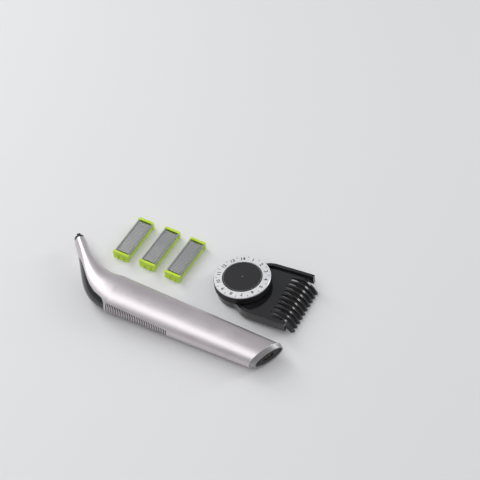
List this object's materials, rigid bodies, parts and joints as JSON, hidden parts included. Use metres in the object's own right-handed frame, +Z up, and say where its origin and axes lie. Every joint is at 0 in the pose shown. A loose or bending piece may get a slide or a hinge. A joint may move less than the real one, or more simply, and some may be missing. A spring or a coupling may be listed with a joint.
{
  "type": "beard trimmer",
  "caption": "Cordless beard trimmer laid out on its side: bent silver handle, spare click-on blade cartridges and a dial comb beside it.",
  "frame": {"origin": "middle of the set's footprint, on the surface it lies on", "axes": "+X along the handle towards its tail, +Y from the handle towards the blades and the comb, +Z up"},
  "size_m": [0.1596, 0.0814, 0.0184],
  "materials": {
    "satin_silver": "satin anodised",
    "satin_grey": "satin",
    "gloss_black": "gloss",
    "matt_black": "matt",
    "grip_rubber": "matt",
    "smoked_lens": "gloss",
    "chrome_trim": "metallised gloss",
    "gold_contact": "plated",
    "steel": "bright",
    "plated_steel": "zinc plated",
    "brass": "turned",
    "ferrite": "sintered",
    "copper_winding": "enamelled wire on laminations",
    "white_nylon": "matt",
    "cell_sleeve": "shrink sleeve",
    "board_laminate": "solder mask",
    "display_resin": "matt",
    "smoke_black": "gloss",
    "dial_silver": "brushed",
    "cap_black": "matt",
    "lime_green": "satin",
    "blade_steel": "ground",
    "cutter_steel": "lapped"
  },
  "bodies": {
    "handle": {"casing": "satin_silver", "back_panel": "gloss_black", "grip_ribs": "grip_rubber", "front_fascia": "gloss_black", "display_window": "smoked_lens", "tail_bezel": "satin_grey", "tail_plate": "matt_black", "charge_inlet": "matt_black", "charge_pins": "gold_contact", "tail_screw": "matt_black", "neck_head": "matt_black", "motor_can": "plated_steel", "motor_bushes": "brass", "motor_magnets": "ferrite", "lever_pivot": "steel", "chassis": "matt_black", "pivot_bracket": "matt_black", "battery": "cell_sleeve", "battery_tabs": "steel", "circuit_board": "board_laminate", "button_switch": "matt_black", "display_module": "display_resin", "board_screws": "steel"},
    "button": {"power_button": "chrome_trim"},
    "rotor": {"motor_shaft": "steel", "motor_armature": "copper_winding", "eccentric": "white_nylon"},
    "lever": {"drive_lever": "white_nylon", "drive_pin": "steel"},
    "comb": {"comb_frame": "smoke_black", "dial_axle": "brass", "dial_screw": "steel", "detent_spring": "steel", "neck_clip": "smoke_black"},
    "dial": {"dial_wheel": "matt_black", "dial_ring": "dial_silver", "dial_cap": "cap_black", "dial_cam": "white_nylon"},
    "slider": {"comb_slider": "smoke_black"},
    "blade_1": {"blade_1_base": "lime_green", "blade_1_guard": "blade_steel", "blade_1_spring": "steel"},
    "cutter_1": {"blade_1_cutter": "cutter_steel", "blade_1_driver": "matt_black"},
    "blade_2": {"blade_2_base": "lime_green", "blade_2_guard": "blade_steel", "blade_2_spring": "steel"},
    "cutter_2": {"blade_2_cutter": "cutter_steel", "blade_2_driver": "matt_black"},
    "blade_3": {"blade_3_base": "lime_green", "blade_3_guard": "blade_steel", "blade_3_spring": "steel"},
    "cutter_3": {"blade_3_cutter": "cutter_steel", "blade_3_driver": "matt_black"}
  },
  "joints": [
    {"name": "button_press", "type": "slide", "parent": "handle", "child": "button", "axis": [-0.0244, -0.9997, 0], "range_m": [0, 0.0005], "stiffness_N_per_m": 300},
    {"name": "motor_spin", "type": "hinge", "parent": "handle", "child": "rotor", "pos_m": [-0.01989, -0.0271, 0.00895], "axis": [0.9995, -0.0244, -0.0183], "continuous": true},
    {"name": "lever_rock", "type": "hinge", "parent": "handle", "child": "lever", "pos_m": [-0.05459, -0.01865, 0.00959], "axis": [0.6988, 0.7152, -0.0124], "range_deg": [-1.6, 1.6]},
    {"name": "comb_lift", "type": "slide", "parent": "handle", "child": "comb", "axis": [0, 0, 1], "range_m": [0, 0.04]},
    {"name": "dial_turn", "type": "hinge", "parent": "comb", "child": "dial", "pos_m": [0.035, 0.0174, 0.00183], "axis": [-0.1045, 0.0036, 0.9945], "range_deg": [0, 315]},
    {"name": "comb_slide", "type": "slide", "parent": "comb", "child": "slider", "axis": [0.9939, -0.0347, 0.1045], "range_m": [0, 0.00961]},
    {"name": "blade_1_lift", "type": "slide", "parent": "handle", "child": "blade_1", "axis": [0, 0, 1], "range_m": [0, 0.03]},
    {"name": "cutter_1_slide", "type": "slide", "parent": "blade_1", "child": "cutter_1", "axis": [0.0489, 0.9988, 0], "range_m": [-0.0009, 0.0009]},
    {"name": "blade_2_lift", "type": "slide", "parent": "handle", "child": "blade_2", "axis": [0, 0, 1], "range_m": [0, 0.03]},
    {"name": "cutter_2_slide", "type": "slide", "parent": "blade_2", "child": "cutter_2", "axis": [0.0593, 0.9982, 0], "range_m": [-0.0009, 0.0009]},
    {"name": "blade_3_lift", "type": "slide", "parent": "handle", "child": "blade_3", "axis": [0, 0, 1], "range_m": [0, 0.03]},
    {"name": "cutter_3_slide", "type": "slide", "parent": "blade_3", "child": "cutter_3", "axis": [0.068, 0.9977, 0], "range_m": [-0.0009, 0.0009]}
  ],
  "couplings": [
    {"joint": "comb_slide", "follows": "dial_turn", "m_per_rad": 0.0017462}
  ]
}
